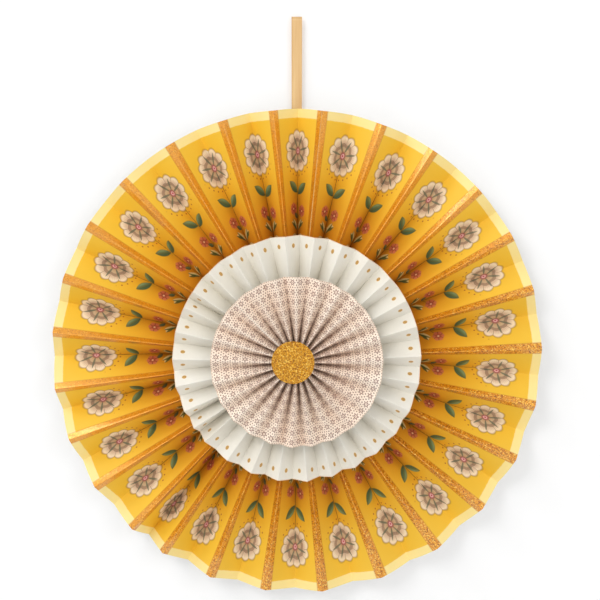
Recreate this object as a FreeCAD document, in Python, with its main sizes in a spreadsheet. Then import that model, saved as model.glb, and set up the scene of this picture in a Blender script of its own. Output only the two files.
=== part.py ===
import FreeCAD, Part
import math
import os

import Sketcher

# Paper fan rosette: three pleated paper rings glued front to back on card discs, a glitter disc at the
# centre, and a flat ribbon loop to hang it by. Millimetres. +Z is up and the front looks toward -Y.
# The origin is the centre of the back card's rear face, so y = 0 is the plane that lies on a wall.
# "Depth" below means distance in front of that plane, so it is -y.

# Driving sizes. A panel is the strip of paper between two neighbouring folds.
SIZES = {
    "paper_thickness": 0.3,
    "large_fan_radius": 225.0,
    "large_panel_width": 32.5,
    "large_hub_radius": 8.0,
    "middle_fan_radius": 113.0,
    "middle_panel_width": 17.8,
    "middle_hub_radius": 8.0,
    "small_fan_radius": 78.0,
    "small_panel_width": 13.0,
    "small_hub_radius": 7.0,
    "lap_gap": 0.12,
    "lap_tab_width": 12.0,
    "backing_radius": 30.0,
    "backing_thickness": 1.0,
    "middle_seat_radius": 26.0,
    "small_seat_radius": 20.0,
    "seat_thickness": 1.0,
    "centre_disc_radius": 19.2,
    "centre_disc_thickness": 1.2,
    "centre_disc_shift": 3.4,
    "centre_disc_rise": 1.1,
    "ribbon_width": 9.5,
    "ribbon_thickness": 0.2,
    "ribbon_slit": 0.1,
    "ribbon_top": 307.1,
    "ribbon_tail": 20.0,
    "groove_clearance": 0.25,
}

# A fold has a narrow flat along it: half its width, and less near the hub, where the folds crowd.
CREASE_HALF = 0.45
CREASE_SHARE_OF_RADIUS = 0.025

# Straight stretches that follow the curve of each fold from the card disc out to the rim.
STRETCHES = 5

# Each fan is one strip, folded and closed into a ring at its seam. Its number of pleats follows from
# rim_slope_deg, how steeply a panel stands to the fan's plane at the rim. Pleats are counted
# counterclockwise from the fold at the seam. A hand-made fan opens unevenly: most pleats have a share
# of the turn near 1, and "uneven" gives the others', pleat number to share.
FANS = {
    "large": {
        "rim_slope_deg": 36.4,
        "seam_deg": 84.2,
        "uneven": {
            0: 0.80, 1: 0.88, 2: 0.96, 3: 1.04, 4: 0.96, 6: 0.96, 7: 0.96, 8: 0.92, 9: 0.96, 10: 0.96,
            11: 0.72, 12: 0.88, 14: 1.04, 15: 1.04, 16: 1.08, 17: 1.04, 18: 1.04, 20: 1.04, 22: 0.96,
            24: 1.04, 25: 0.96, 26: 1.04,
        },
    },
    "middle": {
        "rim_slope_deg": 46.5,
        "seam_deg": 95.3,
        "uneven": {
            0: 1.08, 1: 0.92, 3: 0.88, 4: 0.64, 5: 0.92, 7: 0.96, 8: 0.96, 9: 0.68, 10: 0.60, 11: 1.08,
            12: 0.96, 13: 0.96, 14: 1.04, 15: 0.92, 16: 0.88, 17: 0.92, 18: 0.96, 22: 1.04, 26: 1.04, 28: 1.04,
        },
    },
    "small": {
        "rim_slope_deg": 38.3,
        "seam_deg": 135.4,
        "uneven": {
            1: 0.84, 2: 1.04, 3: 1.04, 4: 0.96, 9: 0.92, 11: 1.04, 12: 1.20, 13: 1.20,
            14: 1.08, 15: 0.96, 16: 0.96, 17: 1.04, 18: 0.92, 20: 1.12, 21: 0.96, 23: 1.04,
        },
    },
}


def make_sheet(doc):
    """The spreadsheet of driving sizes, one aliased cell for each."""
    sheet = doc.addObject("Spreadsheet::Sheet", "Sizes")
    for row, (name, value) in enumerate(SIZES.items(), start=1):
        sheet.set(f"A{row}", name)
        sheet.set(f"B{row}", str(value))
        sheet.setAlias(f"B{row}", name)
    doc.recompute()
    return sheet


# Card and glitter discs

def origin_plane(body, role):
    """One of a body's own base planes."""
    return next(f for f in body.Origin.OriginFeatures if f.Role == role)


def sketch_on(body, name, role):
    """An empty sketch on one of a body's base planes. On XZ_Plane its normal points to the front."""
    sketch = body.newObject("Sketcher::SketchObject", name)
    sketch.AttachmentSupport = (origin_plane(body, role), [""])
    sketch.MapMode = "FlatFace"
    return sketch


def add_circle(sketch, radius_expression):
    """A circle centred on the sketch's origin, with a bound radius."""
    circle = Part.Circle(FreeCAD.Vector(0, 0, 0), FreeCAD.Vector(0, 0, 1), 10)
    sketch.addGeometry(circle, False)
    sketch.addConstraint(Sketcher.Constraint("Coincident", 0, 3, -1, 1))
    sketch.addConstraint(Sketcher.Constraint("Radius", 0, 10))
    sketch.renameConstraint(1, "radius")
    sketch.setExpression("Constraints.radius", radius_expression)


def make_disc(doc, label, radius, thickness, depth):
    """A flat round disc whose rear face lies at the given depth."""
    body = doc.addObject("PartDesign::Body", label + "_body")
    body.Label = label
    sketch = sketch_on(body, label + "_outline", "XZ_Plane")
    add_circle(sketch, radius)
    pad = body.newObject("PartDesign::Pad", label + "_pad")
    pad.Profile = sketch
    pad.setExpression("Length", thickness)
    body.Tip = pad
    body.setExpression("Placement.Base.y", f"-({depth})")
    return body


def add_outline(sketch, corners):
    """A closed outline of upright and level lines through the given corners."""
    count = len(corners)
    points = [FreeCAD.Vector(x, y, 0) for x, y in corners]
    for i in range(count):
        sketch.addGeometry(Part.LineSegment(points[i], points[(i + 1) % count]), False)
    for i in range(count):
        after = (i + 1) % count
        sketch.addConstraint(Sketcher.Constraint("Coincident", i, 2, after, 1))
        level = corners[i][1] == corners[after][1]
        sketch.addConstraint(Sketcher.Constraint("Horizontal" if level else "Vertical", i))


def bind(sketch, name, constraint, expression):
    """Adds a named constraint and binds it to the sheet."""
    index = sketch.addConstraint(constraint)
    sketch.renameConstraint(index, name)
    sketch.setExpression("Constraints." + name, expression)


RIBBON_PACK = "2 * Sizes.ribbon_thickness + Sizes.ribbon_slit"


def cut_ribbon_groove(sheet, body):
    """The back card is pressed in where the ribbon lies, from its tail up to the card's edge."""
    sketch = sketch_on(body, "groove_outline", "XZ_Plane")
    sketch.setExpression("AttachmentOffset.Base.z", "Sizes.backing_thickness")
    side = sheet.ribbon_width / 2 + sheet.groove_clearance
    foot = sheet.ribbon_tail + sheet.groove_clearance
    head = sheet.backing_radius + sheet.ribbon_width
    add_outline(sketch, [(-side, -foot), (side, -foot), (side, head), (-side, head)])
    half_width = "Sizes.ribbon_width / 2 + Sizes.groove_clearance"
    foot_reach = "Sizes.ribbon_tail + Sizes.groove_clearance"
    head_reach = "Sizes.backing_radius + Sizes.ribbon_width"
    bind(sketch, "left", Sketcher.Constraint("DistanceX", 0, 1, -1, 1, side), half_width)
    bind(sketch, "right", Sketcher.Constraint("DistanceX", -1, 1, 0, 2, side), half_width)
    bind(sketch, "foot", Sketcher.Constraint("DistanceY", 0, 1, -1, 1, foot), foot_reach)
    bind(sketch, "head", Sketcher.Constraint("DistanceY", -1, 1, 2, 1, head), head_reach)
    pocket = body.newObject("PartDesign::Pocket", "groove")
    pocket.Profile = sketch
    pocket.setExpression("Length", RIBBON_PACK)
    body.Tip = pocket


def make_ribbon(doc, sheet):
    """The ribbon loop from the side: two strands, folded flat over each other at the top."""
    body = doc.addObject("PartDesign::Body", "hanging_ribbon_body")
    body.Label = "hanging_ribbon"
    sketch = sketch_on(body, "ribbon_side", "YZ_Plane")
    # Corners from the rear strand's foot up over the fold, down the front strand and up the slit.
    front = sheet.backing_thickness
    skin = sheet.ribbon_thickness
    slit = skin + sheet.ribbon_slit
    rear = front - slit - skin
    foot = -sheet.ribbon_tail
    top = sheet.ribbon_top
    add_outline(sketch, [
        (-rear, foot), (-rear, top), (-front, top), (-front, foot),
        (-front + skin, foot), (-front + skin, top - skin),
        (-front + slit, top - skin), (-front + slit, foot),
    ])
    thickness = "Sizes.ribbon_thickness"
    bind(sketch, "foot", Sketcher.Constraint("DistanceY", 0, 1, -1, 1, -foot), "Sizes.ribbon_tail")
    bind(sketch, "top", Sketcher.Constraint("DistanceY", -1, 1, 0, 2, top), "Sizes.ribbon_top")
    bind(sketch, "front", Sketcher.Constraint("DistanceX", 2, 1, -1, 1, front), "Sizes.backing_thickness")
    bind(sketch, "front_strand", Sketcher.Constraint("DistanceX", 3, 1, 3, 2, skin), thickness)
    bind(sketch, "slit", Sketcher.Constraint("DistanceX", 5, 1, 5, 2, slit - skin), "Sizes.ribbon_slit")
    bind(sketch, "rear_strand", Sketcher.Constraint("DistanceX", 7, 1, 7, 2, skin), thickness)
    bind(sketch, "fold", Sketcher.Constraint("DistanceY", 4, 2, 1, 2, skin), thickness)
    level_feet = Sketcher.Constraint("Horizontal", 3, 2, 7, 2)
    sketch.addConstraint(level_feet)
    pad = body.newObject("PartDesign::Pad", "ribbon_width")
    pad.Profile = sketch
    pad.setExpression("Length", "Sizes.ribbon_width")
    pad.SideType = "Symmetric"
    body.Tip = pad
    return body


# Pleated fans

def pleat_count(size, fan):
    """How many pleats the ring has."""
    rim_chord = size["width"] * math.cos(math.radians(fan["rim_slope_deg"]))
    return round(math.pi * size["rim"] / rim_chord)


def fold_angles(size, fan):
    """Angles in radians of the front folds, counterclockwise from the seam and back to it."""
    shares = [fan["uneven"].get(i, 1.0) for i in range(pleat_count(size, fan))]
    turn_per_share = 2 * math.pi / sum(shares)
    angles = [math.radians(fan["seam_deg"])]
    for share in shares:
        angles.append(angles[-1] + share * turn_per_share)
    return angles


def pleat_depth(width, radius, level_radius, rim_radius, pleat_turn):
    """How far apart the front and rear folds of a pleat lie at a radius.

    A panel keeps its width: it stands on edge under the card discs and lies flatter as it opens out."""
    opening = max(0.0, (radius - level_radius) / (rim_radius - level_radius))
    chord = 2 * rim_radius * math.sin(pleat_turn / 4) * opening
    return math.sqrt(width**2 - chord**2)


def section(size, fan, radius):
    """The folded strip at one radius, unrolled: points (distance round the ring, depth).

    The last two points are the tab that closes the ring: it lies behind the strip's first panel."""
    angles = fold_angles(size, fan)
    crease = min(CREASE_HALF, CREASE_SHARE_OF_RADIUS * radius)
    width = size["width"]
    even_turn = 2 * math.pi / pleat_count(size, fan)
    even_depth = pleat_depth(width, radius, size["level"], size["rim"], even_turn)
    front = (width + even_depth) / 2
    lap = size["thickness"] + size["lap_gap"]

    points = [(radius * angles[0] - crease, front), (radius * angles[0] + crease, front)]
    for start, end in zip(angles, angles[1:]):
        depth = pleat_depth(width, radius, size["level"], size["rim"], end - start)
        # A tight pleat is deep, but its rear fold stops at the plane that the card disc holds.
        rear = max(0.0, front - depth)
        middle = radius * (start + end) / 2
        points += [(middle - crease, rear), (middle + crease, rear)]
        points += [(radius * end - crease, front), (radius * end + crease, front)]

    # The first panel falls from the seam's fold: the tab runs beside it.
    fall_x = points[2][0] - points[1][0]
    fall_y = points[2][1] - points[1][1]
    reach = size["tab"] / math.hypot(fall_x, fall_y)
    last_x = radius * angles[-1]
    points[-2] = (last_x - crease, front - lap)
    points[-1] = (last_x + crease - lap, front - lap)
    points.append((points[-1][0] + fall_x * reach, points[-1][1] + fall_y * reach))
    return points


def shifted(points, distance):
    """The section moved off its middle line by a distance, toward the front where it is positive."""
    steps = [(b[0] - a[0], b[1] - a[1]) for a, b in zip(points, points[1:])]
    normals = [(-y / math.hypot(x, y), x / math.hypot(x, y)) for x, y in steps]
    before = [normals[0]] + normals
    after = normals + [normals[-1]]
    moved = []
    for (x, y), (ax, ay), (bx, by) in zip(points, before, after):
        scale = distance / (1 + ax * bx + ay * by)
        moved.append((x + (ax + bx) * scale, y + (ay + by) * scale))
    return moved


def on_ring(radius, point):
    """A point of a section, rolled up again onto its circle."""
    angle = point[0] / radius
    return FreeCAD.Vector(radius * math.cos(angle), -point[1], radius * math.sin(angle))


def strip_cells(columns, rows):
    """The panels' stretches, as (column, row). The tab is cut back to start at the card's edge."""
    tab_start = columns - 3
    return {(i, k) for i in range(columns - 1) for k in range(rows - 1) if i < tab_start or k > 0}


def row_radii(size, fan):
    """Where the stretches meet: at the hub, at the card's edge and from there at equal falls in depth."""
    width = size["width"]
    even_turn = 2 * math.pi / pleat_count(size, fan)
    rim_depth = pleat_depth(width, size["rim"], size["level"], size["rim"], even_turn)
    rim_chord = math.sqrt(width**2 - rim_depth**2)
    radii = [size["hub"]]
    for k in range(STRETCHES + 1):
        depth = width - (width - rim_depth) * k / STRETCHES
        opening = math.sqrt(width**2 - depth**2) / rim_chord
        radii.append(size["level"] + (size["rim"] - size["level"]) * opening)
    return radii


def fan_solid(size, fan):
    """The whole folded strip as one closed solid, its rear folds' faces at depth 0."""
    radii = row_radii(size, fan)
    half = size["thickness"] / 2
    points = []
    for side in (half, -half):
        for radius in radii:
            row = shifted(section(size, fan, radius), side)
            points.append([on_ring(radius, (x, y + half)) for x, y in row])
    rows = len(radii)
    columns = len(points[0])
    cells = strip_cells(columns, rows)

    def number(side, column, row):
        return (side * rows + row) * columns + column

    triangles = []

    def add_quad(a, b, c, d):
        triangles.extend([(a, b, c), (a, c, d)])

    for i, k in sorted(cells):
        corners = [(i, k), (i + 1, k), (i + 1, k + 1), (i, k + 1)]
        # Both sides of the paper are halved along the same diagonal, from the front fold outward.
        first = 1 if i % 4 == 3 else 0
        turned = corners[first:] + corners[:first]
        a, b, c, d = [number(0, *corner) for corner in turned]
        add_quad(a, b, c, d)
        a, b, c, d = [number(1, *corner) for corner in turned]
        add_quad(a, d, c, b)
        # A side with no cell beyond it is a cut edge of the paper.
        beyond = [(i, k - 1), (i + 1, k), (i, k + 1), (i - 1, k)]
        for side, other in enumerate(beyond):
            if other not in cells:
                start, end = corners[side], corners[(side + 1) % 4]
                add_quad(number(0, *end), number(0, *start), number(1, *start), number(1, *end))

    flat_points = [point for row in points for point in row]
    used = sorted({index for triangle in triangles for index in triangle})
    place = {index: position for position, index in enumerate(used)}
    kept = [flat_points[index] for index in used]
    numbered = [tuple(place[index] for index in triangle) for triangle in triangles]
    shell = Part.Shape()
    shell.makeShapeFromMesh((kept, numbered), 0.001)
    solid = Part.makeSolid(shell)
    if solid.Volume < 0:
        solid.reverse()
    return solid


def make_fan(doc, sheet, name, level_radius, depth):
    """One pleated paper fan, its rear folds at the given depth."""
    size = {
        "thickness": sheet.paper_thickness,
        "lap_gap": sheet.lap_gap,
        "tab": sheet.lap_tab_width,
        "rim": getattr(sheet, name + "_fan_radius"),
        "width": getattr(sheet, name + "_panel_width"),
        "hub": getattr(sheet, name + "_hub_radius"),
        "level": level_radius,
    }
    fan = doc.addObject("Part::Feature", name + "_fan_strip")
    fan.Label = name + "_fan"
    fan.Shape = fan_solid(size, FANS[name])
    fan.Placement.Base = FreeCAD.Vector(0, -depth, 0)
    return fan


# Assembly, from the back card forward. Each fan is as deep as its panel is wide, plus the paper.

def make_document():
    doc = FreeCAD.newDocument("paper_fan_rosette")
    sheet = make_sheet(doc)
    large_front = "Sizes.backing_thickness + Sizes.large_panel_width + Sizes.paper_thickness"
    middle_rear = large_front + " + Sizes.seat_thickness"
    middle_front = middle_rear + " + Sizes.middle_panel_width + Sizes.paper_thickness"
    small_rear = middle_front + " + Sizes.seat_thickness"
    small_front = small_rear + " + Sizes.small_panel_width + Sizes.paper_thickness"
    seat = "Sizes.seat_thickness"

    backing = make_disc(doc, "backing_disc", "Sizes.backing_radius", "Sizes.backing_thickness", "0 mm")
    cut_ribbon_groove(sheet, backing)
    ribbon = make_ribbon(doc, sheet)
    middle_seat = make_disc(doc, "middle_seat_disc", "Sizes.middle_seat_radius", seat, large_front)
    small_seat = make_disc(doc, "small_seat_disc", "Sizes.small_seat_radius", seat, middle_front)
    centre = make_disc(
        doc, "centre_disc", "Sizes.centre_disc_radius", "Sizes.centre_disc_thickness", small_front
    )
    centre.setExpression("Placement.Base.x", "-Sizes.centre_disc_shift")
    centre.setExpression("Placement.Base.z", "Sizes.centre_disc_rise")
    doc.recompute()

    centre_reach = sheet.centre_disc_radius + math.hypot(sheet.centre_disc_shift, sheet.centre_disc_rise)
    large_level = max(sheet.backing_radius, sheet.middle_seat_radius)
    middle_level = max(sheet.middle_seat_radius, sheet.small_seat_radius)
    small_level = max(sheet.small_seat_radius, centre_reach)
    fans = [
        make_fan(doc, sheet, "large", large_level, -backing.Placement.Base.y + sheet.backing_thickness),
        make_fan(
            doc, sheet, "middle", middle_level, -middle_seat.Placement.Base.y + sheet.seat_thickness
        ),
        make_fan(doc, sheet, "small", small_level, -small_seat.Placement.Base.y + sheet.seat_thickness),
    ]
    doc.recompute()
    return doc, [backing, ribbon, middle_seat, small_seat, centre] + fans


def check_document(doc, pieces):
    """Stops before anything is written if a feature failed or a piece isn't one valid solid."""
    for item in doc.Objects:
        if "Invalid" in item.State or "Error" in item.State:
            raise RuntimeError(f"{item.Label} failed: {item.State}")
    for piece in pieces:
        if piece.Shape.isNull() or not piece.Shape.isValid() or len(piece.Shape.Solids) != 1:
            raise RuntimeError(f"{piece.Label} isn't one valid solid")


def main():
    doc, pieces = make_document()
    check_document(doc, pieces)
    os.makedirs("parts", exist_ok=True)
    for piece in pieces:
        piece.Shape.exportStep(f"parts/{piece.Label}.step")
        box = piece.Shape.BoundBox
        print(
            f"{piece.Label}: {piece.Shape.Volume:.1f} mm3, {len(piece.Shape.Faces)} faces, "
            f"x {box.XMin:.2f}..{box.XMax:.2f}, y {box.YMin:.2f}..{box.YMax:.2f}, "
            f"z {box.ZMin:.2f}..{box.ZMax:.2f}"
        )


main()
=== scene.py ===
import math

import bpy
import numpy as np
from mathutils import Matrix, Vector


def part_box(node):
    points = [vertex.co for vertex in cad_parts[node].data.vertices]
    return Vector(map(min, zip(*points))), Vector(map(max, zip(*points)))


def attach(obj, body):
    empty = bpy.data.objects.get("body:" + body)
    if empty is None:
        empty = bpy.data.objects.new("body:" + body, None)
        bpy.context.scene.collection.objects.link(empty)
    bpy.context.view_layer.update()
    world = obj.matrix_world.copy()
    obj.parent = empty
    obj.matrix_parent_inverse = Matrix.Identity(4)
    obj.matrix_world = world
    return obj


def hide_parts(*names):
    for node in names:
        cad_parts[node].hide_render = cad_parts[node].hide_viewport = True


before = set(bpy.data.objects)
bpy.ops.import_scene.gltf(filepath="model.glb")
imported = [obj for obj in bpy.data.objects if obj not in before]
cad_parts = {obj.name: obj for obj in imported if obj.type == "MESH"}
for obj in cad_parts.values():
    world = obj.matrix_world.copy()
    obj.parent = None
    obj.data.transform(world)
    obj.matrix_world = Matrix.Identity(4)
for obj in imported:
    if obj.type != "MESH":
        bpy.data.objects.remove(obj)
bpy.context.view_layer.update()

MM = 0.001
WHITE = (1, 1, 1, 1)


# Colour and arithmetic in node trees

# A colour Mix node's sockets, by their place.
MIX_FACTOR, MIX_BELOW, MIX_ABOVE = 0, 6, 7
MIX_RESULT = 2


def srgb(red, green, blue):
    """A colour written as 0-255 values, as a linear RGBA value."""
    def linear(value):
        value /= 255
        return value / 12.92 if value <= 0.04045 else ((value + 0.055) / 1.055) ** 2.4
    return (linear(red), linear(green), linear(blue), 1.0)


def feed(tree, slot, value):
    """Links a field or a socket to a node's input, or sets the input to a constant."""
    if isinstance(value, Field):
        value = value.socket
    if isinstance(value, bpy.types.NodeSocket):
        tree.links.new(value, slot)
    else:
        slot.default_value = value


class Field:
    """A number that varies over a surface: a socket that can be used in arithmetic."""

    def __init__(self, tree, socket):
        self.tree = tree
        self.socket = socket

    def apply(self, operation, *others, clamp=False):
        node = self.tree.nodes.new("ShaderNodeMath")
        node.operation = operation
        node.use_clamp = clamp
        for slot, value in zip(node.inputs, (self, *others)):
            feed(self.tree, slot, value)
        return Field(self.tree, node.outputs[0])

    def __add__(self, other):
        return self.apply("ADD", other)

    def __sub__(self, other):
        return self.apply("SUBTRACT", other)

    def __rsub__(self, other):
        return self.apply("MULTIPLY_ADD", -1.0, other)

    def __mul__(self, other):
        return self.apply("MULTIPLY", other)

    def __truediv__(self, other):
        return self.apply("DIVIDE", other)

    def __abs__(self):
        return self.apply("ABSOLUTE")

    def within(self, edge, softness):
        """1 where the field is under the edge and 0 above it, with a soft step between."""
        return self.apply("MULTIPLY_ADD", -1 / softness, edge / softness + 0.5, clamp=True)

    def ramp(self, low, high):
        """Goes from 0 at low to 1 at high."""
        return self.apply("MULTIPLY_ADD", 1 / (high - low), -low / (high - low), clamp=True)

    def remainder(self, spacing):
        """Offset from the nearest multiple of the spacing, negative before it."""
        return self.apply("WRAP", spacing / 2, -spacing / 2)

    def sine(self):
        return self.apply("SINE")

    def both(self, other):
        return self.apply("MULTIPLY", other)

    def either(self, other):
        return self.apply("MAXIMUM", other)


def distance(x, y):
    return (x * x + y * y).apply("SQRT")


class Paint:
    """A material's node tree: coordinates, noise, layers of colour and one shader."""

    def __init__(self, name):
        self.material = bpy.data.materials.new(name)
        self.material.use_nodes = True
        self.tree = self.material.node_tree
        self.shader = self.tree.nodes["Principled BSDF"]
        self.coordinates = self.tree.nodes.new("ShaderNodeTexCoord")

    def sheet_xy(self):
        """Where a place lies on the flat sheet, in mm, as the mesh's sheet coordinates say."""
        uv = self.tree.nodes.new("ShaderNodeUVMap")
        uv.uv_map = "sheet"
        split = self.tree.nodes.new("ShaderNodeSeparateXYZ")
        self.tree.links.new(uv.outputs["UV"], split.inputs[0])
        return Field(self.tree, split.outputs["X"]), Field(self.tree, split.outputs["Y"])

    def object_xz(self):
        """Places across and up in the object's frame, in metres."""
        split = self.tree.nodes.new("ShaderNodeSeparateXYZ")
        self.tree.links.new(self.coordinates.outputs["Object"], split.inputs[0])
        return Field(self.tree, split.outputs["X"]), Field(self.tree, split.outputs["Z"])

    def noise(self, scale, detail=3.0, roughness=0.55, seed=0.0, stretch=(1, 1, 1)):
        """Soft noise around 0.5, with the scale in features per metre of the object."""
        mapping = self.tree.nodes.new("ShaderNodeMapping")
        mapping.inputs["Scale"].default_value = stretch
        mapping.inputs["Location"].default_value = (seed, seed * 0.7, seed * 0.3)
        self.tree.links.new(self.coordinates.outputs["Object"], mapping.inputs["Vector"])
        node = self.tree.nodes.new("ShaderNodeTexNoise")
        node.inputs["Scale"].default_value = scale
        node.inputs["Detail"].default_value = detail
        node.inputs["Roughness"].default_value = roughness
        self.tree.links.new(mapping.outputs[0], node.inputs["Vector"])
        return Field(self.tree, node.outputs["Fac"])

    def cells(self, scale):
        """Random grains: a field from 0 to 1 and a random vector, each constant over one grain."""
        node = self.tree.nodes.new("ShaderNodeTexVoronoi")
        node.inputs["Scale"].default_value = scale
        self.tree.links.new(self.coordinates.outputs["Object"], node.inputs["Vector"])
        split = self.tree.nodes.new("ShaderNodeSeparateColor")
        self.tree.links.new(node.outputs["Color"], split.inputs[0])
        return Field(self.tree, split.outputs[0]), node.outputs["Color"]

    def mix(self, below, above, mask, strength=1.0):
        """Colour above laid over colour below where the mask is 1, as strongly as given."""
        node = self.tree.nodes.new("ShaderNodeMix")
        node.data_type = "RGBA"
        feed(self.tree, node.inputs[MIX_FACTOR], mask if strength == 1.0 else mask * strength)
        feed(self.tree, node.inputs[MIX_BELOW], below)
        feed(self.tree, node.inputs[MIX_ABOVE], above)
        return node.outputs[MIX_RESULT]

    def shade(self, colour, field):
        """The colour made darker or lighter by a factor that varies."""
        grey = self.tree.nodes.new("ShaderNodeCombineXYZ")
        for slot in grey.inputs:
            feed(self.tree, slot, field)
        node = self.tree.nodes.new("ShaderNodeMix")
        node.data_type = "RGBA"
        node.blend_type = "MULTIPLY"
        node.inputs[MIX_FACTOR].default_value = 1.0
        feed(self.tree, node.inputs[MIX_BELOW], colour)
        feed(self.tree, node.inputs[MIX_ABOVE], grey.outputs[0])
        return node.outputs[MIX_RESULT]

    def set(self, name, value):
        """One of the shader's inputs: a constant, a field or a colour's socket."""
        feed(self.tree, self.shader.inputs[name], value)

    def bump(self, height, depth_mm):
        """Relief from a field of heights, as a surface direction."""
        node = self.tree.nodes.new("ShaderNodeBump")
        node.inputs["Distance"].default_value = depth_mm * MM
        self.tree.links.new(height.socket, node.inputs["Height"])
        return node.outputs[0]

    def vector_maths(self, operation, first, second=None, scale=None):
        """One vector operation on sockets or constants."""
        node = self.tree.nodes.new("ShaderNodeVectorMath")
        node.operation = operation
        feed(self.tree, node.inputs[0], first)
        if second is not None:
            feed(self.tree, node.inputs[1], second)
        if scale is not None:
            feed(self.tree, node.inputs["Scale"], scale)
        return node.outputs[0]

    def sparkle(self, direction, grain_vector, amount):
        """The direction tilted by a random amount on each grain, so that grains catch the light."""
        centred = self.vector_maths("SUBTRACT", grain_vector, (0.5, 0.5, 0.5))
        tilt = self.vector_maths("SCALE", centred, scale=amount)
        return self.vector_maths("NORMALIZE", self.vector_maths("ADD", direction, tilt))

    def tooth(self):
        """The fine tooth of matt paper, as relief."""
        fine = self.noise(1400, detail=4, roughness=0.7)
        broad = self.noise(90, detail=2, seed=5.0)
        return self.bump(fine * 0.35 + broad * 0.65, depth_mm=0.05)


# Motifs of the prints, in mm

def even_rays(angle, count):
    """0 along each of a number of even directions, rising to 1 between them."""
    return abs((angle * (count / 2)).sine())


def scalloped_round(x, y, radius, lobes):
    """Distance to the centre as a share of a scalloped outline, then in mm, and the angle."""
    notch = 0.13
    reach = distance(x, y)
    angle = y.apply("ARCTAN2", x)
    outline = even_rays(angle, lobes) * (radius * notch) + radius * (1 - notch)
    return reach / outline, reach, angle


def leaf(x, y, length, width, turn_deg):
    """Under 1 inside a pointed leaf that starts at the place given and points along its turn."""
    turn = math.radians(turn_deg)
    along = x * math.cos(turn) + y * math.sin(turn)
    across = y * math.cos(turn) - x * math.sin(turn)
    middle = (along - length / 2) / (length / 2)
    return abs(across) / (width / 2) + middle * middle, across


def spokes(reach, angle, count, inner, outer, half_width):
    """Under 1 inside slender blades that point outward between two distances from the centre."""
    offset = abs(angle.remainder(2 * math.pi / count)) * reach
    span = ((outer - inner) / 2) ** 2
    swell = (reach - inner) * (outer - reach) * (half_width / span)
    return offset / swell.apply("MAXIMUM", 0.01)


# Yellow paper of the large fan. On a fan's sheet x runs along the strip and y from the rim inwards.

LARGE_PANEL = 32.5
STRIPE_HALF = 5.5
PALE_BORDER = 8.2
FLOWER_FROM_RIM = 38.5
FLOWER_RADIUS = 19.2
FLOWER_PETALS = 11
HEART_RADIUS = 11.6
HEART_LOBES = 7
SEED_RING = 22.5
STEM_START = 54
LEAF_TURN_DEG = 37


def paint_leaves(paint, colour, x, y):
    """Two large leaves and a small one that open outward from the stem."""
    dark, light = srgb(48, 98, 72), srgb(134, 168, 122)
    midrib, outline = srgb(128, 112, 52), srgb(46, 70, 40)
    half_stem = 0.6
    for side, base, length, width in ((1, 76.5, 18.5, 8.0), (-1, 78, 18.5, 8.0), (1, 100, 8, 4)):
        shape, across = leaf(x * side - half_stem, base - y, length, width, LEAF_TURN_DEG)
        tone = paint.mix(dark, light, across.ramp(0.0, 3.0))
        tone = paint.mix(tone, midrib, abs(across).within(0.3, 0.4), strength=0.7)
        tone = paint.mix(tone, outline, shape.ramp(0.7, 1.0), strength=0.6)
        colour = paint.mix(colour, tone, shape.within(1.0, 0.2), strength=0.94)
    return colour


def paint_blossoms(paint, colour, x, y):
    """Small star-shaped blossoms, one on each side of the stem."""
    light, dark = srgb(210, 118, 84), srgb(168, 68, 62)
    stalk_brown, seam_brown, eye = srgb(110, 84, 30), srgb(116, 42, 40), srgb(250, 214, 160)
    radius, petals, widening = 5.6, 6, 0.85
    stalk_drop, stalk_slope = 7, 0.72
    for side, across_at, along_at in ((1, 9.2, 91), (-1, 9.8, 93)):
        beside = x * side
        near, reach, angle = scalloped_round(
            (beside - across_at) * widening, y - along_at, radius, petals)
        stalk = abs(y - along_at - stalk_drop + beside * stalk_slope).within(0.4, 0.5)
        stalk = stalk.both(beside.ramp(0.5, 1.5)).both(beside.within(across_at - 3, 1))
        colour = paint.mix(colour, stalk_brown, stalk, strength=0.7)
        tone = paint.mix(light, dark, reach.within(2.6, 2.4))
        tone = paint.mix(tone, seam_brown, even_rays(angle, petals).within(0.3, 0.3), strength=0.7)
        colour = paint.mix(colour, tone, near.within(1.0, 0.2), strength=0.92)
        colour = paint.mix(colour, eye, reach.within(1.0, 0.5), strength=0.9)
    return colour


def paint_bracts(paint, colour, x, y):
    """Two-toned bracts on both sides of the stem, near the middle ring."""
    dark, light = srgb(70, 96, 50), srgb(238, 220, 150)
    from_stem = 2.0
    for base, length, width, turn_deg in ((107, 13, 5.4, 20), (111, 14, 5.0, 52), (117, 12, 4.6, 8)):
        shape, across = leaf(abs(x) - from_stem, base - y, length, width, turn_deg)
        tone = paint.mix(dark, light, across.ramp(-0.2, 0.5))
        colour = paint.mix(colour, tone, shape.within(1.0, 0.2), strength=0.88)
    return colour


def petal_colour(paint, near, reach, angle):
    """Cream petals with seams, fine veins and a darker rim."""
    outer, inner = srgb(244, 224, 192), srgb(222, 192, 160)
    seam_ink, vein_ink, rim_ink = srgb(150, 118, 88), srgb(190, 156, 124), srgb(166, 132, 96)
    seams = even_rays(angle, FLOWER_PETALS).within(0.12, 0.16).both(reach.ramp(9, 12))
    veins = even_rays(angle, 5 * FLOWER_PETALS).within(0.35, 0.5).both(reach.ramp(18, 13))
    tone = paint.mix(outer, inner, reach.ramp(16.5, 12.5))
    tone = paint.mix(tone, seam_ink, seams, strength=0.7)
    tone = paint.mix(tone, vein_ink, veins, strength=0.5)
    return paint.mix(tone, rim_ink, near.ramp(0.93, 0.99), strength=0.55)


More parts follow.
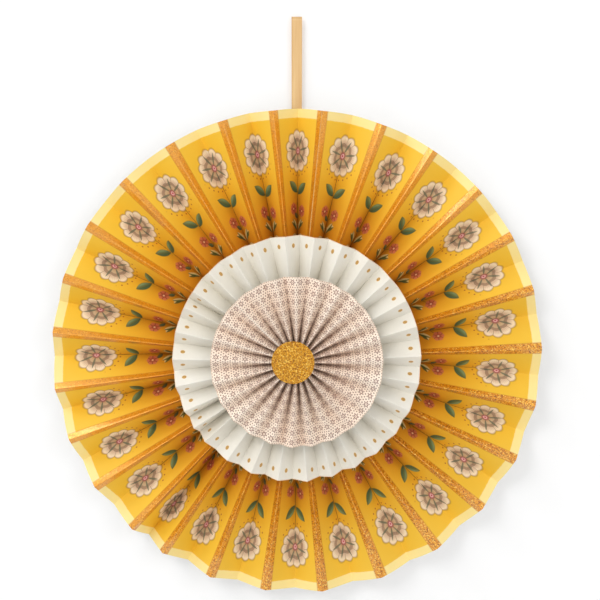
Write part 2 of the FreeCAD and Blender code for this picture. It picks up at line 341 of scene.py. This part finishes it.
def paint_heart(paint, colour, x, y, reach, angle):
    """The flower's scalloped heart: rings of brown, a darker outline and a hatched band."""
    light, dark, centre = srgb(220, 192, 150), srgb(150, 114, 94), srgb(196, 150, 104)
    outline_ink, hatch_ink = srgb(128, 98, 78), srgb(128, 96, 84)
    hatches, band_radius, band_half = 42, 8.6, 2.2
    near, _, _ = scalloped_round(x, y, HEART_RADIUS, HEART_LOBES)
    waves = (near * 9.0).sine().ramp(0.1, 0.9)
    tone = paint.mix(light, dark, waves, strength=0.75)
    tone = paint.mix(tone, centre, near.within(0.55, 0.3), strength=0.6)
    colour = paint.mix(colour, outline_ink, near.within(1.05, 0.06), strength=0.75)
    colour = paint.mix(colour, tone, near.within(0.98, 0.06), strength=0.95)
    band = abs(reach - band_radius).within(band_half, 0.8)
    hatch = even_rays(angle, hatches).within(0.3, 0.3).both(band)
    return paint.mix(colour, hatch_ink, hatch, strength=0.5)


def paint_rose(paint, colour, reach):
    """The flower's rose centre: rounds and a pale ring, one on the other."""
    halo, rose = srgb(164, 98, 88), srgb(214, 118, 122)
    ring, eye = srgb(252, 232, 214), srgb(196, 74, 88)
    colour = paint.mix(colour, halo, reach.within(3.9, 1.2), strength=0.8)
    colour = paint.mix(colour, rose, reach.within(2.6, 0.7), strength=0.9)
    colour = paint.mix(colour, ring, abs(reach - 1.6).within(0.35, 0.4), strength=0.8)
    return paint.mix(colour, eye, reach.within(0.8, 0.4), strength=0.9)


def paint_seeds(paint, colour, reach, angle, y):
    """Seed dots on a ring around the inner half of the flower."""
    step = 0.26
    along_ring = (angle + step / 2).remainder(step) * SEED_RING
    seeds = distance(along_ring, reach - SEED_RING).within(0.85, 0.5).both(y.ramp(8, 11))
    return paint.mix(colour, srgb(176, 92, 40), seeds, strength=0.85)


def paint_flower_head(paint, colour, x, y):
    """A scalloped flower with a brown heart, slender green blades and a rose centre."""
    halo, blade_green = srgb(150, 112, 50), srgb(104, 108, 84)
    first_blade = 0.22
    narrowed = x * 1.03
    near, reach, angle = scalloped_round(narrowed, y, FLOWER_RADIUS, FLOWER_PETALS)
    petals = petal_colour(paint, near, reach, angle)
    petals = paint_heart(paint, petals, narrowed, y, reach, angle)
    blades = spokes(reach, angle + first_blade, count=7, inner=2.6, outer=16.0, half_width=1.05)
    petals = paint.mix(petals, blade_green, blades.within(1.0, 0.5), strength=0.85)
    petals = paint_rose(paint, petals, reach)
    colour = paint.mix(colour, halo, near.within(1.06, 0.09), strength=0.6)
    colour = paint.mix(colour, petals, near.within(1.0, 0.04))
    return paint_seeds(paint, colour, reach, angle, y)


def paint_stripe(paint, colour, to_ridge, rough, painted_side_sparkle):
    """The glitter stripe on the front fold: its colour with painted glints, its mask and the tilt of
    its grains.
    """
    stripe_edge_brown, ground = srgb(176, 100, 20), srgb(232, 156, 30)
    dark, light = srgb(196, 110, 2), srgb(240, 168, 22)
    painted_glint, gap = srgb(255, 214, 96), srgb(134, 66, 2)
    # A thin darker brown line along each edge of the stripe.
    edge_line = abs(to_ridge - STRIPE_HALF - 0.2).within(0.45, 0.5)
    colour = paint.mix(colour, stripe_edge_brown, edge_line, strength=0.5)
    stripe = (to_ridge + rough * 0.8 - 0.4).within(STRIPE_HALF, 0.3)
    grain, tilt = paint.cells(1400)
    coarse, _ = paint.cells(1000)
    glitter = paint.mix(ground, paint.mix(dark, light, grain), painted_side_sparkle)
    # Painted glints: pale gold specks on some grains, as if they catch the light.
    glitter = paint.mix(glitter, painted_glint, coarse.ramp(0.82, 0.9).both(painted_side_sparkle), strength=0.7)
    glitter = paint.mix(glitter, gap, coarse.within(0.14, 0.08).both(painted_side_sparkle), strength=0.75)
    return paint.mix(colour, glitter, stripe), stripe, tilt


def large_body(paint, x, y):
    """Plain golden paper, redder and darker towards the hub, partly its own tone and partly painted
    shade and bounced light, with painted shade in the rear folds there.
    """
    blotch = paint.noise(14, detail=3, seed=2.0)
    # Redder and darker towards the hub: partly the paper's own tone, partly painted shade and bounced
    # light of the deep hub.
    body = paint.mix(srgb(241, 191, 48), srgb(220, 134, 4), y.ramp(45, 145))
    body = paint.shade(body, blotch * 0.12 + 0.94)
    # Painted shade: darker brown-orange in the rear folds near the hub.
    painted_fold_shade = abs(x).within(6, 10).both(y.ramp(60, 125))
    return paint.mix(body, srgb(160, 84, 6), painted_fold_shade, strength=0.55)


def large_paper():
    """Golden paper with a garden flower on each rear fold, glitter stripes and a pale edge."""
    paint = Paint("yellow_print_paper")
    strip, y = paint.sheet_xy()
    x = strip.remainder(2 * LARGE_PANEL)
    colour = large_body(paint, x, y)
    from_stem = abs(x + (y * 0.09).sine() * 0.5)
    stem = from_stem.within(0.55, 0.7).both(y.ramp(STEM_START, STEM_START + 4))
    colour = paint.mix(colour, srgb(122, 84, 24), stem, strength=0.75)
    colour = paint_leaves(paint, colour, x, y)
    colour = paint_blossoms(paint, colour, x, y)
    colour = paint_flower_head(paint, colour, x, y - FLOWER_FROM_RIM)
    colour = paint_bracts(paint, colour, x, y)

    rough = paint.noise(300, detail=2, seed=8.0)
    pale_edge = (y + rough * 0.8 - 0.4).within(PALE_BORDER, 0.5)
    colour = paint.mix(colour, srgb(252, 229, 152), pale_edge, strength=0.95)

    # Painted light: the stripes' glints, grain contrast and grain tilt grow towards the lower right,
    # where the light makes them sparkle more.
    across, up = paint.object_xz()
    painted_side_sparkle = (across - up + (rough - 0.5) * 0.02).ramp(-0.04, 0.16) * 0.65 + 0.35
    colour, stripe, tilt = paint_stripe(paint, colour, LARGE_PANEL - abs(x), rough, painted_side_sparkle)
    paint.set("Base Color", colour)
    paint.set("Metallic", stripe * 0.4)
    paint.set("Roughness", stripe * -0.3 + 0.6)
    paint.set("Coat Weight", stripe * 0.85)
    paint.set("Coat Roughness", 0.24)
    paint.set("Normal", paint.sparkle(paint.tooth(), tilt, stripe * painted_side_sparkle * 0.42))
    return paint.material


# Papers of the middle and the small fan

MIDDLE_PANEL = 17.8
SMALL_PANEL = 13.0
GOLD_DOT_RADIUS = 2.05
GOLD_DOT_FROM_RIM = 9.0
LACE_GRID = 8.8
LACE_RING_RADIUS = 1.65
LACE_DOT_RADIUS = 0.66
LACE_START = 4.8


def middle_paper():
    """Off-white paper with one gold dot near the rim of each panel."""
    paint = Paint("white_dotted_paper")
    strip, y = paint.sheet_xy()
    x = strip.remainder(2 * MIDDLE_PANEL)
    blotch = paint.noise(20, detail=3, seed=3.0)
    fibre = paint.noise(600, detail=3, seed=1.0, stretch=(1, 1, 0.4))
    colour = paint.mix(srgb(240, 236, 226), srgb(232, 226, 212), blotch.ramp(0.3, 0.75))
    colour = paint.shade(colour, fibre * 0.05 + 0.975)
    # Painted light: a thin warm glow along the rim's edge.
    colour = paint.mix(colour, srgb(240, 208, 164), y.within(0.6, 0.6), strength=0.6)

    from_dot = distance((abs(x) - MIDDLE_PANEL / 2) * 1.15, y - GOLD_DOT_FROM_RIM)
    foil, _ = paint.cells(2200)
    gold = paint.mix(srgb(176, 130, 66), srgb(218, 176, 100), foil)
    colour = paint.mix(colour, srgb(250, 228, 190), from_dot.within(2.6, 0.8), strength=0.5)
    dot = from_dot.within(GOLD_DOT_RADIUS, 0.5)
    paint.set("Base Color", paint.mix(colour, gold, dot))
    paint.set("Metallic", dot * 0.3)
    paint.set("Roughness", dot * -0.25 + 0.68)
    paint.set("Normal", paint.tooth())
    return paint.material


def small_paper():
    """Blush paper with a fine lace-like print: rings on a square grid among small dots."""
    paint = Paint("blush_print_paper")
    strip, y = paint.sheet_xy()
    blotch = paint.noise(25, detail=3, seed=4.0)
    body = paint.mix(srgb(252, 238, 221), srgb(248, 227, 207), blotch.ramp(0.3, 0.75))
    ink = srgb(112, 50, 34)
    down = y - LACE_START
    reach = distance(strip.remainder(LACE_GRID), down.remainder(LACE_GRID))
    rings = abs(reach - LACE_RING_RADIUS).within(0.42, 0.2).either(reach.within(0.45, 0.2))
    colour = paint.mix(body, ink, rings, strength=0.84)

    # Dots in two staggered sets fill the space between the rings.
    column, row = LACE_GRID / 3, LACE_GRID / 2
    dots = distance(strip.remainder(column), down.remainder(row))
    staggered = distance((strip + column / 2).remainder(column), (down + row / 2).remainder(row))
    dots = dots.within(LACE_DOT_RADIUS, 0.15).either(staggered.within(LACE_DOT_RADIUS, 0.15))
    colour = paint.mix(colour, ink, dots.both(reach.ramp(2.3, 2.6)), strength=0.82)

    # Painted shade: the paper is darker in its rear folds towards the centre.
    painted_fold_shade = abs(strip.remainder(2 * SMALL_PANEL)).within(4.0, 6.0).both(y.ramp(22, 52))
    colour = paint.mix(colour, srgb(134, 92, 72), painted_fold_shade, strength=0.5)
    colour = paint.mix(colour, srgb(236, 214, 192), y.within(0.6, 0.5), strength=0.8)
    paint.set("Base Color", colour)
    paint.set("Roughness", 0.66)
    paint.set("Normal", paint.tooth())
    return paint.material


# Plain paper and card, glitter and satin

def plain_paper(name, light, dark):
    """Unprinted paper with a faint fibre pattern."""
    paint = Paint(name)
    fibre = paint.noise(420, detail=5, roughness=0.7, seed=6.0)
    blotch = paint.noise(22, detail=2, seed=9.0)
    paint.set("Base Color", paint.mix(light, dark, (fibre * 0.6 + blotch * 0.4).ramp(0.35, 0.7)))
    paint.set("Roughness", 0.75)
    paint.set("Normal", paint.tooth())
    return paint.material


def glitter_card():
    """Gold glitter: grains that differ in colour, tilt and shine, some with a painted glint."""
    paint = Paint("gold_glitter_card")
    grain, tilt = paint.cells(1500)
    fine, _ = paint.cells(1600)
    colour = paint.mix(srgb(160, 92, 0), srgb(230, 164, 18), grain)
    # Painted glints: pale gold specks on some grains, as if they catch the light.
    colour = paint.mix(colour, srgb(254, 214, 100), fine.ramp(0.82, 0.9), strength=0.8)
    colour = paint.mix(colour, srgb(112, 56, 2), fine.within(0.16, 0.06), strength=0.8)
    paint.set("Base Color", colour)
    paint.set("Metallic", 0.35)
    paint.set("Roughness", 0.4)
    relief = paint.bump(paint.noise(1300, detail=2, seed=3.0), depth_mm=0.1)
    paint.set("Normal", paint.sparkle(relief, tilt, 0.6))
    return paint.material


def satin():
    """Peach satin: fine lengthwise threads, a soft sheen along them and slightly darker edges."""
    paint = Paint("satin_ribbon")
    x, _ = paint.sheet_xy()
    thread_spacing = 0.28
    threads = (x * (2 * math.pi / thread_spacing)).sine()
    uneven = paint.noise(60, detail=3, seed=7.0, stretch=(3, 1, 0.2))
    colour = paint.mix(srgb(244, 206, 146), srgb(226, 178, 116), uneven.ramp(0.3, 0.7))
    colour = paint.shade(colour, threads * 0.025 + 0.975)
    selvedge = abs(x).ramp(3.9, 4.5)
    paint.set("Base Color", paint.mix(colour, srgb(206, 150, 92), selvedge, strength=0.5))
    paint.set("Roughness", 0.36)
    paint.set("Sheen Weight", 0.25)
    paint.set("Anisotropic", 0.5)
    paint.set("Normal", paint.bump(threads * 0.5 + uneven, depth_mm=0.05))
    return paint.material


# Meshes

def rim_quads(index, cells):
    """Quads that close a sheet along its open sides, from front to back."""
    rows, columns = index.shape
    padded = np.zeros((rows + 1, columns + 1), bool)
    padded[1:rows, 1:columns] = cells

    # For each side of a square: its first and its last corner, and the step to the square beyond.
    sides = (
        ((0, 0), (0, 1), (-1, 0)),
        ((0, 1), (1, 1), (0, 1)),
        ((1, 1), (1, 0), (1, 0)),
        ((1, 0), (0, 0), (0, -1)),
    )
    quads = []
    for start, end, (down, right) in sides:
        beyond = padded[1 + down:rows + down, 1 + right:columns + right]
        k, i = np.nonzero(cells & ~beyond)
        p = index[k + start[0], i + start[1]]
        q = index[k + end[0], i + end[1]]
        quads.append(np.stack([p, q, q + index.size, p + index.size], 1))
    return np.concatenate(quads)


def mark_sharp(mesh, pairs):
    """Marks the edges between the given pairs of points as sharp."""
    weights = np.array([len(mesh.vertices), 1])
    ends = np.zeros(len(mesh.edges) * 2, int)
    mesh.edges.foreach_get("vertices", ends)
    keys = np.sort(ends.reshape(-1, 2), 1) @ weights
    mesh.edges.foreach_set("use_edge_sharp", np.isin(keys, np.sort(pairs, 1) @ weights))


def closed_sheet(name, middle, sheet_x, sheet_y, cells, thickness, materials):
    """A sheet of paper as one closed mesh, from a grid of points on its middle surface.

    middle: rows x columns x 3 points in mm; sheet_x, sheet_y: the same grid's places on the flat
    sheet; cells: which squares are there. materials: printed front, plain back, cut edge."""
    normal = np.cross(np.gradient(middle, axis=0), np.gradient(middle, axis=1))
    normal /= np.linalg.norm(normal, axis=2, keepdims=True)
    front = middle + normal * thickness / 2
    back = middle - normal * thickness / 2

    index = np.arange(middle.shape[0] * middle.shape[1]).reshape(middle.shape[:2])
    k, i = np.nonzero(cells)
    squares = np.stack([index[k, i], index[k, i + 1], index[k + 1, i + 1], index[k + 1, i]], 1)
    rims = rim_quads(index, cells)
    corners = np.concatenate([squares[:, ::-1], squares + index.size, rims])
    points = np.concatenate([front.reshape(-1, 3), back.reshape(-1, 3)]) * MM
    used, faces = np.unique(corners, return_inverse=True)
    faces = faces.reshape(corners.shape)

    mesh = bpy.data.meshes.new(name)
    mesh.from_pydata(points[used].tolist(), [], faces.tolist())
    for material in materials:
        mesh.materials.append(material)
    sides = np.repeat([0, 1, 2], [len(squares), len(squares), len(rims)])
    mesh.polygons.foreach_set("material_index", sides)
    mesh.polygons.foreach_set("use_smooth", np.ones(len(faces), bool))
    flat = np.stack([sheet_x, sheet_y], 2).reshape(-1, 2)
    uv = mesh.uv_layers.new(name="sheet")
    uv.data.foreach_set("uv", flat[corners.ravel() % index.size].ravel())

    cut_faces = faces[-len(rims):]
    mark_sharp(mesh, np.concatenate([cut_faces[:, [0, 1]], cut_faces[:, [2, 3]]]))
    mesh.update()
    piece = bpy.data.objects.new(name, mesh)
    bpy.context.collection.objects.link(piece)
    return piece


# Pleated fans, in mm

PAPER = 0.3
LAP = 0.42
LAP_CLEARANCE = 0.05
TAB = 12.0
SEAM_OFFSET = 0.45
FOLD_SOFTNESS = 0.45

# How far a fan's rim stays inside its solid's, so that its unevenness doesn't pass it.
RIM_INSET = 0.5

# pleats: counted counterclockwise from the seam; uneven: the pleats with more or less than an even
# share of the turn. hub: radius of the inner edge; level: radius within which the folds keep one
# depth; rows: points from there to the rim. wander, bow: typical unevenness of folds and panels.
FANS = {
    "large_fan": {
        "pleats": 27, "seam_deg": 84.2, "panel": LARGE_PANEL,
        "hub": 8.0, "level": 30.0, "rows": 46,
        "uneven": {
            0: 0.80, 1: 0.88, 2: 0.96, 3: 1.04, 4: 0.96, 6: 0.96, 7: 0.96, 8: 0.92, 9: 0.96,
            10: 0.96, 11: 0.72, 12: 0.88, 14: 1.04, 15: 1.04, 16: 1.08, 17: 1.04, 18: 1.04,
            20: 1.04, 22: 0.96, 24: 1.04, 25: 0.96, 26: 1.04,
        },
        "wander": 0.9, "bow": 0.9, "seed": 11,
    },
    "middle_fan": {
        "pleats": 29, "seam_deg": 95.3, "panel": MIDDLE_PANEL,
        "hub": 8.0, "level": 26.0, "rows": 26,
        "uneven": {
            0: 1.08, 1: 0.92, 3: 0.88, 4: 0.64, 5: 0.92, 7: 0.96, 8: 0.96, 9: 0.68, 10: 0.60,
            11: 1.08, 12: 0.96, 13: 0.96, 14: 1.04, 15: 0.92, 16: 0.88, 17: 0.92, 18: 0.96,
            22: 1.04, 26: 1.04, 28: 1.04,
        },
        "wander": 0.5, "bow": 0.5, "seed": 12,
    },
    "small_fan": {
        "pleats": 24, "seam_deg": 135.4, "panel": SMALL_PANEL,
        "hub": 7.0, "level": 22.77, "rows": 24,
        "uneven": {
            1: 0.84, 2: 1.04, 3: 1.04, 4: 0.96, 9: 0.92, 11: 1.04, 12: 1.20, 13: 1.20,
            14: 1.08, 15: 0.96, 16: 0.96, 17: 1.04, 18: 0.92, 20: 1.12, 21: 0.96, 23: 1.04,
        },
        "wander": 0.35, "bow": 0.4, "seed": 13,
    },
}


def fold_angles(fan):
    """Angles of the front folds, counterclockwise from the seam and back to it."""
    shares = np.array([fan["uneven"].get(i, 1.0) for i in range(fan["pleats"])])
    turned = np.concatenate([[0], np.cumsum(shares)]) * 2 * math.pi / shares.sum()
    return math.radians(fan["seam_deg"]) + turned


def panel_stations(width):
    """Distances from a panel's front fold at which it gets a column of points."""
    near_fold = np.array([0.0, 0.35, 0.8, 1.6])
    between = np.linspace(2 * near_fold[-1], width - 2 * near_fold[-1], 6)
    return np.concatenate([near_fold, between, (width - near_fold)[::-1]])


def soft_fall(stations, width):
    """How far along its fall, from 0 to 1, a panel is at each station: straight between soft folds."""
    def rounded(length):
        return np.sqrt(length**2 + FOLD_SOFTNESS**2)
    total = rounded(width) - FOLD_SOFTNESS
    return (rounded(stations) - rounded(width - stations) + total) / (2 * total)


class FanSheet:
    """One fan's strip, finer than its solid: soft folds, bowed panels and hand-made unevenness.

    Each column of points runs from the inner edge to the rim; a fold is its angle and its depth
    along such a column."""

    def __init__(self, node):
        self.fan = FANS[node]
        low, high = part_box(node)
        self.rim = (high.x - low.x) / 2 / MM - RIM_INSET
        self.rear_plane = -high.y / MM + PAPER / 2
        self.width = self.fan["panel"]
        self.count = self.fan["pleats"]
        self.chance = np.random.default_rng(self.fan["seed"])
        level = self.fan["level"]
        spread = np.linspace(level, self.rim, self.fan["rows"])
        self.radius = np.concatenate([[self.fan["hub"]], spread])
        self.opening = np.clip((self.radius - level) / (self.rim - level), 0, 1)
        self.front = (self.width + self.depth_of(2 * math.pi / self.count)) / 2
        self.stations = panel_stations(self.width)
        self.columns = []
        self.strip_x = []

    def depth_of(self, turn):
        """Depth between a front and a rear fold, where a pleat takes the given turn."""
        chord = 2 * self.rim * math.sin(turn / 4) * self.opening
        return np.sqrt(self.width**2 - chord**2)

    def wander(self):
        return self.chance.normal(0, self.fan["wander"])

    def folds(self):
        """Front and rear folds by turns, from the seam round to the seam."""
        angles = fold_angles(self.fan)
        made = []
        for i in range(self.count + 1):
            at_seam = i in (0, self.count)
            sway = 0 if at_seam else self.wander() / self.rim
            lean = 0 if at_seam else self.wander()
            made.append((angles[i] + sway * self.opening, self.front + lean * self.opening**2))
            if i < self.count:
                drop = self.depth_of(angles[i + 1] - angles[i])
                sway = self.wander() / self.rim
                lean = self.wander()
                rear = np.maximum(self.front - drop + lean * self.opening**2, 0)
                made.append(((angles[i] + angles[i + 1]) / 2 + sway * self.opening, rear))

        # The strip's last fold lies beside and behind its first.
        angle, depth = made[-1]
        made[-1] = (angle - SEAM_OFFSET / self.radius, depth - LAP)
        return made

    def add_column(self, angle, depth, x):
        across, up = self.radius * np.cos(angle), self.radius * np.sin(angle)
        self.columns.append(np.stack([across, -(depth + self.rear_plane), up], 1))
        self.strip_x.append(x)

    def add_panel(self, number, first, last):
        """Columns from one fold up to the next, bowed and rippled a little."""
        share = self.stations / self.width
        fall = soft_fall(self.stations, self.width)
        bow = self.chance.normal(0, self.fan["bow"]) * np.sin(np.pi * share)
        ripple = self.chance.normal(0, self.fan["bow"] * 0.4)
        phase = self.chance.uniform(0, 2 * math.pi)
        waves = np.sin(self.opening * 5.0 + phase) * ripple
        for j, s in enumerate(share[:-1]):
            angle = first[0] + (last[0] - first[0]) * s
            depth = first[1] + (last[1] - first[1]) * fall[j]
            depth = depth + (bow[j] + waves * math.sin(math.pi * s)) * self.opening
            self.add_column(angle, depth, (number - 1) * self.width + self.stations[j])

    def add_tab(self):
        """The end of the strip, which lies behind its first panel and closes the ring."""
        last = len(self.stations) - 2
        slope = self.columns[last] - self.columns[1]
        slope /= np.linalg.norm(slope, axis=1, keepdims=True)
        spoke = np.gradient(self.columns[1], axis=0)
        spoke /= np.linalg.norm(spoke, axis=1, keepdims=True)
        behind = np.cross(spoke, slope)
        behind *= np.sign(behind[:, 1:2])
        first_panel = list(zip(self.columns[1:last + 1], self.strip_x[1:last + 1]))
        tab = [(column, x) for column, x in first_panel if x + self.width <= TAB]
        for column, x in tab:
            self.columns.append(column + behind * (LAP + LAP_CLEARANCE))
            self.strip_x.append(x + 2 * self.count * self.width)
        return len(tab)

    def from_rim(self):
        """Distance from the rim on the flat strip, for each point of a column."""
        steps = np.hypot(np.diff(self.radius), np.diff(self.front))
        return np.concatenate([np.cumsum(steps[::-1])[::-1], [0.0]])


def fan_piece(node, materials):
    """One pleated fan in place of its solid."""
    sheet = FanSheet(node)
    folds = sheet.folds()
    for number, (first, last) in enumerate(zip(folds, folds[1:])):
        sheet.add_panel(number, first, last)
    sheet.add_column(*folds[-1], (2 * sheet.count - 1) * sheet.width)
    tab_columns = sheet.add_tab()

    middle = np.stack(sheet.columns, 1)
    rows, columns = middle.shape[:2]
    cells = np.ones((rows - 1, columns - 1), bool)
    cells[:1, -tab_columns:] = False
    x = np.tile(np.array(sheet.strip_x), (rows, 1))
    y = np.tile(sheet.from_rim()[:, None], (1, columns))
    piece = closed_sheet(node + "_paper", middle, x, y, cells, PAPER, materials)
    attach(piece, "root")
    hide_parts(node)
    return piece


# Hanging ribbon, in mm

RIBBON = 0.18
RIBBON_SIDE_INSET = 0.25
RIBBON_INSET = 0.1


def ribbon_path(foot, top, rear, fore):
    """The loop as height, depth and sideways offset: up the front strand, over and down behind."""
    rise = np.linspace(0, 1, 90)
    bend = np.linspace(0, math.pi, 9)[1:-1]
    askew = RIBBON_SIDE_INSET
    length = top - foot
    half_gap = (fore - rear) / 2
    centre = (fore + rear) / 2
    front = [(foot + length * s, fore, askew * s * s) for s in rise]
    over = [(top + half_gap * math.sin(b) - 0.3, centre + half_gap * math.cos(b), askew) for b in bend]
    behind = [(foot + length * s, rear, -askew * s) for s in rise[::-1]]
    return front + over + behind


def ribbon_piece(material):
    """The satin ribbon: two strands that lie a little askew over each other and fold at the top."""
    low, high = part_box("hanging_ribbon")
    width = (high.x - low.x) / MM - 2 * RIBBON_SIDE_INSET
    foot, top = low.z / MM, high.z / MM
    path = ribbon_path(foot, top, -high.y / MM + RIBBON_INSET, -low.y / MM - RIBBON_INSET)
    across = np.linspace(-width / 2, width / 2, 13)
    middle = np.zeros((len(path), len(across), 3))
    for k, (height, depth, askew) in enumerate(path):
        middle[k, :, 0] = across + askew
        middle[k, :, 1] = -depth
        middle[k, :, 2] = min(height, top - RIBBON_INSET)
    x = np.tile(across, (len(path), 1))
    step = 2 * (top - foot) / len(path)
    y = np.tile(np.cumsum(np.full(len(path), step))[:, None], (1, len(across)))
    cells = np.ones((len(path) - 1, len(across) - 1), bool)
    piece = closed_sheet("satin_ribbon_loop", middle, x, y, cells, RIBBON, [material] * 3)
    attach(piece, "root")
    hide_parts("hanging_ribbon")
    return piece


def dress(node, material):
    """Gives a CAD node its finish."""
    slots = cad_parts[node].data.materials
    slots.clear()
    slots.append(material)


# Stage, light and camera, in metres

WALL_GLOW = 0.195
WALL_WHITE = 0.8
WALL_GAP = 0.004
SKY = 0.7

# Each lamp's place, size across and watts. All point at the object's centre.
LAMPS = {
    "key": ((-2.05, -3.2, 2.3), 1.9, 50),
    "fill": ((1.6, -1.8, 0.9), 1.6, 8),
    "side": ((-2.35, -1.25, 2.6), 1.2, 20),
    "rear": ((0.9, 2.8, 1.3), 1.6, 26),
}

CAMERA_TILT_DEG = 8.2
CAMERA_AWAY = 1.6
CAMERA_TARGET = (0.0029, -0.016, 0.0501)
LENS_MM = 104.6
SENSOR_MM = 36


def sees_background(tree):
    """1 for rays from the camera, mirrors and glass, which see the plain white background."""
    path = tree.nodes.new("ShaderNodeLightPath")
    seen = Field(tree, path.outputs["Is Camera Ray"])
    seen = seen.either(Field(tree, path.outputs["Is Glossy Ray"]))
    return seen.either(Field(tree, path.outputs["Is Transmission Ray"]))


def stage_material():
    """A white surface that shows nearly white and keeps soft shadows.

    It is see-through from behind and lets the rear lamp's light pass."""
    material = bpy.data.materials.new("stage_white")
    material.use_nodes = True
    tree = material.node_tree
    matt = tree.nodes["Principled BSDF"]
    matt.inputs["Base Color"].default_value = (WALL_WHITE, WALL_WHITE, WALL_WHITE, 1)
    matt.inputs["Roughness"].default_value = 1.0
    matt.inputs["Specular IOR Level"].default_value = 0.0
    matt.inputs["Emission Color"].default_value = WHITE
    feed(tree, matt.inputs["Emission Strength"], sees_background(tree) * WALL_GLOW)

    geometry = tree.nodes.new("ShaderNodeNewGeometry")
    path = tree.nodes.new("ShaderNodeLightPath")
    from_behind = Field(tree, geometry.outputs["Backfacing"])
    see_through = from_behind.either(Field(tree, path.outputs["Is Shadow Ray"]))
    clear = tree.nodes.new("ShaderNodeBsdfTransparent")
    mix = tree.nodes.new("ShaderNodeMixShader")
    for slot, value in zip(mix.inputs, (see_through, matt.outputs[0], clear.outputs[0])):
        feed(tree, slot, value)
    tree.links.new(mix.outputs[0], tree.nodes["Material Output"].inputs["Surface"])
    return material


def stage_plane(name, centre, right, up, material):
    """A flat stage rectangle spanned by two half-extents."""
    centre, right, up = Vector(centre), Vector(right), Vector(up)
    corners = [centre - right - up, centre + right - up, centre + right + up, centre - right + up]
    mesh = bpy.data.meshes.new(name)
    mesh.from_pydata([tuple(c) for c in corners], [], [(0, 1, 2, 3)])
    mesh.materials.append(material)
    plane = bpy.data.objects.new(name, mesh)
    bpy.context.collection.objects.link(plane)


def build_lamps():
    for name, (place, size, power) in LAMPS.items():
        data = bpy.data.lights.new(name, "AREA")
        data.shape = "DISK"
        data.size = size
        data.energy = power
        lamp = bpy.data.objects.new(name, data)
        lamp.location = place
        lamp.rotation_mode = "QUATERNION"
        lamp.rotation_quaternion = (-Vector(place)).to_track_quat("-Z", "Y")
        bpy.context.collection.objects.link(lamp)


def build_stage():
    """A wall close behind the fan, a floor far below it and a pale sky."""
    white = stage_material()
    stage_plane("stage_wall", (0, WALL_GAP, 0.6), (3, 0, 0), (0, 0, 1.6), white)
    stage_plane("stage_floor", (0, -1.5, -1.0), (3, 0, 0), (0, 3, 0), white)
    world = bpy.data.worlds.new("studio")
    bpy.context.scene.world = world
    world.use_nodes = True
    tree = world.node_tree
    background = tree.nodes["Background"]
    background.inputs["Color"].default_value = WHITE
    feed(tree, background.inputs["Strength"], sees_background(tree) * (1 - SKY) + SKY)


def build_camera():
    """The photograph's view: from in front and above, the fan low in the frame."""
    tilt = math.radians(CAMERA_TILT_DEG)
    back = Vector((0, -math.cos(tilt), math.sin(tilt)))
    data = bpy.data.cameras.new("camera")
    data.sensor_width = SENSOR_MM
    data.lens = LENS_MM
    camera = bpy.data.objects.new("camera", data)
    camera.location = Vector(CAMERA_TARGET) + back * CAMERA_AWAY
    camera.rotation_mode = "QUATERNION"
    camera.rotation_quaternion = (-back).to_track_quat("-Z", "Y")
    bpy.context.collection.objects.link(camera)
    bpy.context.scene.camera = camera


def main():
    white_back = plain_paper("paper_back", srgb(240, 236, 226), srgb(228, 222, 210))
    yellow_edge = plain_paper("yellow_paper_edge", srgb(240, 216, 160), srgb(226, 196, 130))
    card = plain_paper("card", srgb(214, 200, 172), srgb(190, 172, 140))
    pieces = {
        "large_fan": [large_paper(), white_back, yellow_edge],
        "middle_fan": [middle_paper(), white_back, white_back],
        "small_fan": [small_paper(), white_back, white_back],
    }
    for node, materials in pieces.items():
        fan_piece(node, materials)
    ribbon_piece(satin())
    for node in ("backing_disc", "middle_seat_disc", "small_seat_disc"):
        dress(node, card)
    dress("centre_disc", glitter_card())
    build_stage()
    build_lamps()
    build_camera()
    bpy.context.scene.view_settings.view_transform = "Standard"


main()
